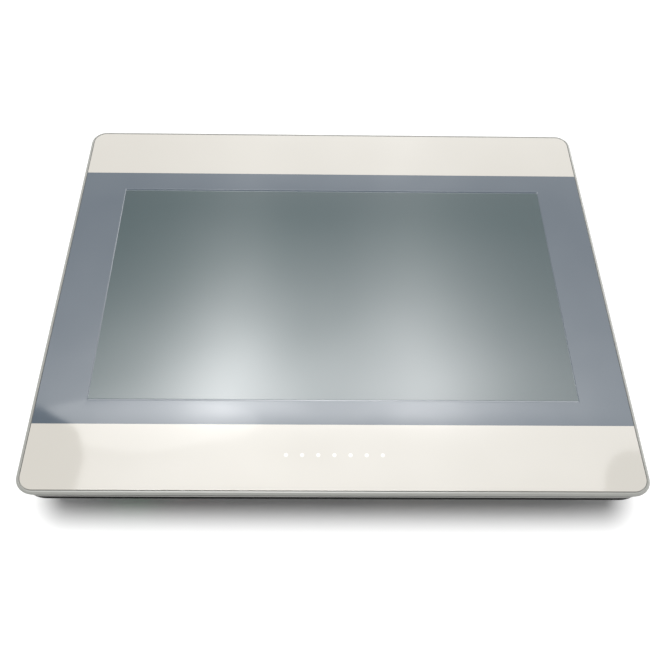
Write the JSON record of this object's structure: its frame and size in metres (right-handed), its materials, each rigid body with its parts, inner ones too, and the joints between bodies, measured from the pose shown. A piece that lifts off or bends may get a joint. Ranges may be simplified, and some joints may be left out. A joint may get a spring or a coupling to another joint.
{
  "type": "operator touch panel",
  "caption": "Flush-mounting touch-screen operator panel: printed film over a bezel with a sealed flange, stepped rear cover, side connectors and a pull-off power plug.",
  "frame": {"origin": "centre of the outline, in the plane of the rear cover's flat back", "axes": "+Z out of the screen, +Y to the top edge of the display, +X to its right-hand side"},
  "size_m": [0.271, 0.213, 0.0364],
  "materials": {
    "film": "glossy printed polyester, matte window",
    "bezel": "fine moulded texture",
    "rubber": "matte",
    "foam": "matte",
    "glass": "clear",
    "cell": "dark polariser",
    "acrylic": "clear",
    "steel": "galvanised sheet",
    "nickel": "nickel plated",
    "aluminium": "extruded",
    "board": "solder-masked laminate",
    "chip": "moulded",
    "black": "moulded",
    "terminal": "moulded",
    "cover": "fine moulded texture",
    "label": "foil, blank",
    "polyimide": "flexible circuit",
    "ribbon": "flat cable",
    "white": "moulded",
    "red": "moulded",
    "fuse_glass": "clear tube, plated caps"
  },
  "bodies": {
    "panel": {"overlay_film": "film", "front_bezel": "bezel", "panel_gasket": "rubber", "touch_foam_frame": "foam", "touch_panel": "glass", "touch_tail": "polyimide", "lcd_frame": "steel", "lcd_cell": "cell", "light_guide": "acrylic", "lcd_rear_tray": "steel", "lcd_cable": "ribbon", "display_bracket": "steel", "main_board": "board", "processor": "chip", "heat_sink": "aluminium", "memory_chip": "chip", "flash_chip": "chip", "coin_cell_holder": "black", "coin_cell": "nickel", "fuse": "fuse_glass", "power_inductor": "chip", "input_capacitor": "aluminium", "buzzer": "black", "power_header": "terminal", "dip_switch_body": "red", "reset_switch_body": "black", "usb_host_port": "nickel", "usb_client_port": "nickel", "ethernet_jack": "nickel", "com_port_1": "nickel", "com_port_2": "nickel", "jack_post_1": "nickel", "jack_post_2": "nickel", "jack_post_3": "nickel", "jack_post_4": "nickel", "rear_cover": "cover", "rating_label": "label", "cover_screw_1": "nickel", "cover_screw_2": "nickel", "cover_screw_3": "nickel", "cover_screw_4": "nickel", "bracket_screw_1": "nickel", "bracket_screw_2": "nickel", "bracket_screw_3": "nickel", "bracket_screw_4": "nickel", "board_screw_1": "nickel", "board_screw_2": "nickel", "board_screw_3": "nickel", "board_screw_4": "nickel"},
    "power_plug": {"power_plug": "terminal"},
    "terminal_screw_1": {"terminal_screw_1": "nickel"},
    "terminal_screw_2": {"terminal_screw_2": "nickel"},
    "terminal_screw_3": {"terminal_screw_3": "nickel"},
    "dip_slider_1": {"dip_slider_1": "white"},
    "dip_slider_2": {"dip_slider_2": "white"},
    "dip_slider_3": {"dip_slider_3": "white"},
    "dip_slider_4": {"dip_slider_4": "white"},
    "reset_button": {"reset_button": "black"}
  },
  "joints": [
    {"name": "power_plug_pull", "type": "slide", "parent": "panel", "child": "power_plug", "axis": [0, -1, 0], "range_m": [0, 0.012]},
    {"name": "terminal_screw_1_turn", "type": "hinge", "parent": "power_plug", "child": "terminal_screw_1", "pos_m": [-0.09708, -0.09205, 0.0051], "axis": [0, 0, -1], "range_deg": [0, 810]},
    {"name": "terminal_screw_2_turn", "type": "hinge", "parent": "power_plug", "child": "terminal_screw_2", "pos_m": [-0.092, -0.09205, 0.0051], "axis": [0, 0, -1], "range_deg": [0, 810]},
    {"name": "terminal_screw_3_turn", "type": "hinge", "parent": "power_plug", "child": "terminal_screw_3", "pos_m": [-0.08692, -0.09205, 0.0051], "axis": [0, 0, -1], "range_deg": [0, 810]},
    {"name": "dip_slider_1_slide", "type": "slide", "parent": "panel", "child": "dip_slider_1", "axis": [0, 0, 1], "range_m": [0, 0.0014]},
    {"name": "dip_slider_2_slide", "type": "slide", "parent": "panel", "child": "dip_slider_2", "axis": [0, 0, 1], "range_m": [0, 0.0014]},
    {"name": "dip_slider_3_slide", "type": "slide", "parent": "panel", "child": "dip_slider_3", "axis": [0, 0, 1], "range_m": [0, 0.0014]},
    {"name": "dip_slider_4_slide", "type": "slide", "parent": "panel", "child": "dip_slider_4", "axis": [0, 0, 1], "range_m": [0, 0.0014]},
    {"name": "reset_button_press", "type": "slide", "parent": "panel", "child": "reset_button", "axis": [0, 1, 0], "range_m": [0, 0.0005], "stiffness_N_per_m": 1500}
  ]
}
